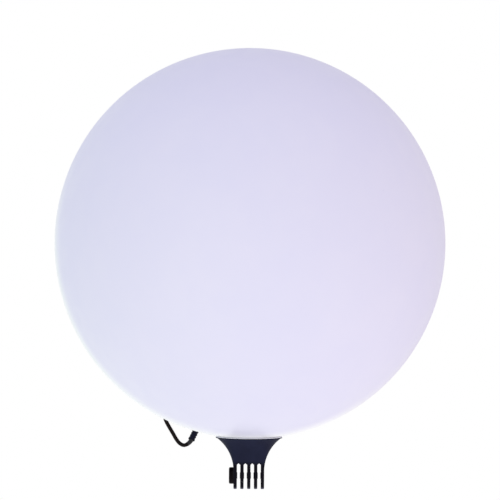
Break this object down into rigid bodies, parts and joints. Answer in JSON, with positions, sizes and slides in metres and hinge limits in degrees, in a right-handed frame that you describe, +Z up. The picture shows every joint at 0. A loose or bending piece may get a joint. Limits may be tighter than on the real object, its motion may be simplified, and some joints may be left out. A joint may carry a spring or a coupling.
{
  "type": "floating pool light",
  "caption": "Translucent white globe lamp on a black flared neck with a finger tilt knuckle, a battery pod behind and a short plug lead.",
  "frame": {"origin": "pivot axis of the tilt knuckle, half way across its fingers", "axes": "+Z up through the globe's centre, -Y to the front of the lamp, +X to the right seen from the front, along the pivot"},
  "size_m": [0.4, 0.4, 0.4518],
  "materials": {
    "globe": "translucent milky moulding with a faint lavender cast, satin",
    "black_moulding": "blue-black moulded plastic, satin",
    "pod_moulding": "black moulded plastic, finely grained",
    "nut_cap": "brown-black moulded plastic, satin",
    "silicone": "clear white silicone",
    "black_rubber": "matt black rubber",
    "button_rubber": "dark grey rubber",
    "lead_jacket": "black cable jacket, slightly glossy",
    "wire_jacket": "black wire jacket",
    "steel": "stainless steel",
    "nickel_plate": "nickel-plated brass",
    "aluminium": "turned aluminium",
    "white_board": "white solder mask",
    "circuit_board": "green solder mask",
    "opal_dome": "opal diffuser",
    "white_plastic": "white moulded plastic",
    "led_phosphor": "yellow phosphor",
    "cell_sleeve": "blue shrink sleeve",
    "status_window": "clear green window"
  },
  "bodies": {
    "lamp": {"battery_cell_1": "cell_sleeve", "battery_cell_2": "cell_sleeve", "battery_holder": "white_plastic", "battery_pod": "pod_moulding", "board_screw_1": "steel", "board_screw_2": "steel", "board_screw_3": "steel", "button_bezel": "black_rubber", "cap_oring": "black_rubber", "cap_screw_1": "steel", "cap_screw_2": "steel", "cap_screw_3": "steel", "cap_screw_4": "steel", "cap_screw_5": "steel", "cap_screw_6": "steel", "control_board": "circuit_board", "gland_nut": "black_moulding", "globe_shell": "globe", "heat_spreader": "aluminium", "lamp_wire": "wire_jacket", "lead_gland": "black_rubber", "led_1": "led_phosphor", "led_2": "led_phosphor", "led_3": "led_phosphor", "led_4": "led_phosphor", "led_5": "led_phosphor", "led_6": "led_phosphor", "led_board": "white_board", "lens_dome": "opal_dome", "neck": "black_moulding", "neck_gasket": "silicone", "neck_lock_ring": "black_moulding", "pivot_nut": "steel", "pivot_nut_cap": "nut_cap", "plug_body": "black_moulding", "plug_pin": "nickel_plate", "pod_clamp_ring": "pod_moulding", "pod_seal": "silicone", "power_lead": "lead_jacket", "power_socket": "nickel_plate", "rear_cap": "pod_moulding", "socket_nut": "nickel_plate", "status_window": "status_window", "strain_relief": "black_rubber", "tact_switch": "white_plastic", "vent_plug": "black_rubber", "wire_grommet": "black_rubber", "wire_terminal": "white_plastic"},
    "power_button": {"power_button": "button_rubber"},
    "coupling_nut": {"coupling_nut": "black_moulding"}
  },
  "joints": [
    {"name": "button_press", "type": "slide", "parent": "lamp", "child": "power_button", "axis": [0, -0.6428, 0.766], "range_m": [0, 0.0012], "stiffness_N_per_m": 2500},
    {"name": "coupling_turn", "type": "hinge", "parent": "lamp", "child": "coupling_nut", "pos_m": [-0.06095, 0.08792, 0.03018], "axis": [0.3906, 0.4503, 0.8029], "continuous": true}
  ]
}
